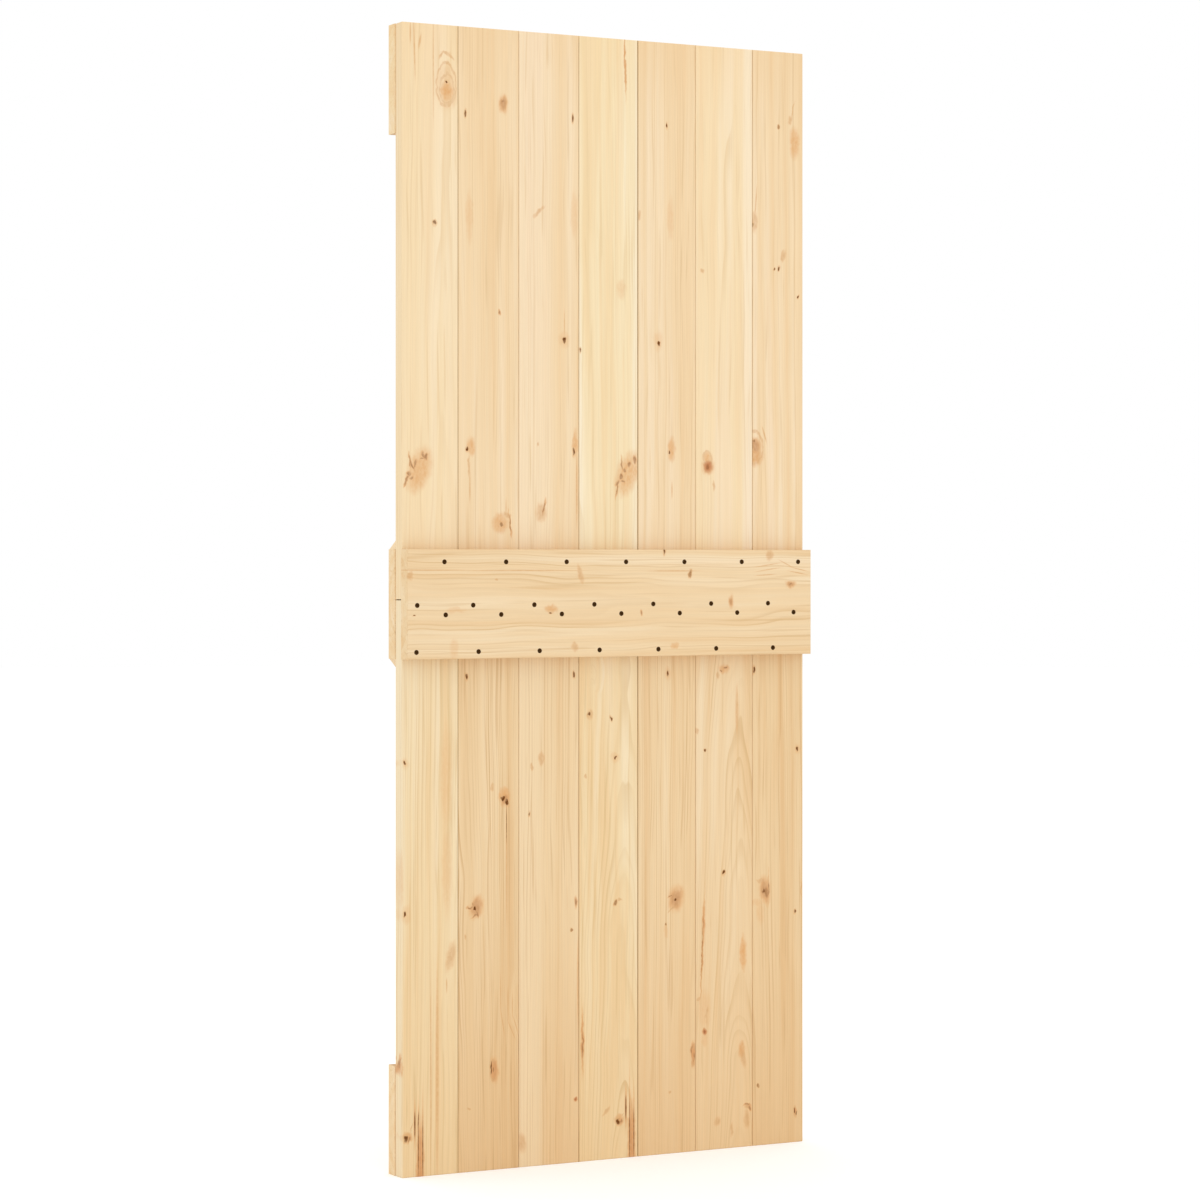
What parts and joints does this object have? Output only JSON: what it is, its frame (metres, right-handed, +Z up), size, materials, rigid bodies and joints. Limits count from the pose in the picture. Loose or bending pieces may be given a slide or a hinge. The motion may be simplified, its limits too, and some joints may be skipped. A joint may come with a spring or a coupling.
{
  "type": "sliding door",
  "caption": "Ledged and braced pine sliding door leaf: tongued and grooved boards in two tiers, flat rails, slanted braces and dark countersunk screws.",
  "frame": {"origin": "middle of the top rail's front face, where a sliding track's hangers are bolted on", "axes": "+X along the width, +Y out of the front face (rails and braces), +Z up along the boards"},
  "size_m": [0.853, 0.084, 2.1],
  "materials": {
    "pine_boards": "planed bare pine",
    "pine_rails": "planed bare pine",
    "screws": "dark phosphate coated steel"
  },
  "bodies": {
    "root": {"upper_board_1": "pine_boards", "upper_board_2": "pine_boards", "upper_board_3": "pine_boards", "upper_board_4": "pine_boards", "upper_board_5": "pine_boards", "upper_board_6": "pine_boards", "upper_board_7": "pine_boards", "lower_board_1": "pine_boards", "lower_board_2": "pine_boards", "lower_board_3": "pine_boards", "lower_board_4": "pine_boards", "lower_board_5": "pine_boards", "lower_board_6": "pine_boards", "lower_board_7": "pine_boards", "back_middle_rail": "pine_rails", "front_top_rail": "pine_rails", "front_middle_rail": "pine_rails", "front_bottom_rail": "pine_rails", "upper_brace": "pine_rails", "lower_brace": "pine_rails", "back_screw_row_1": "screws", "back_screw_row_2": "screws", "back_screw_row_3": "screws", "back_screw_row_4": "screws", "top_rail_screws": "screws", "bottom_rail_screws": "screws", "upper_brace_screws": "screws", "lower_brace_screws": "screws"}
  },
  "joints": []
}
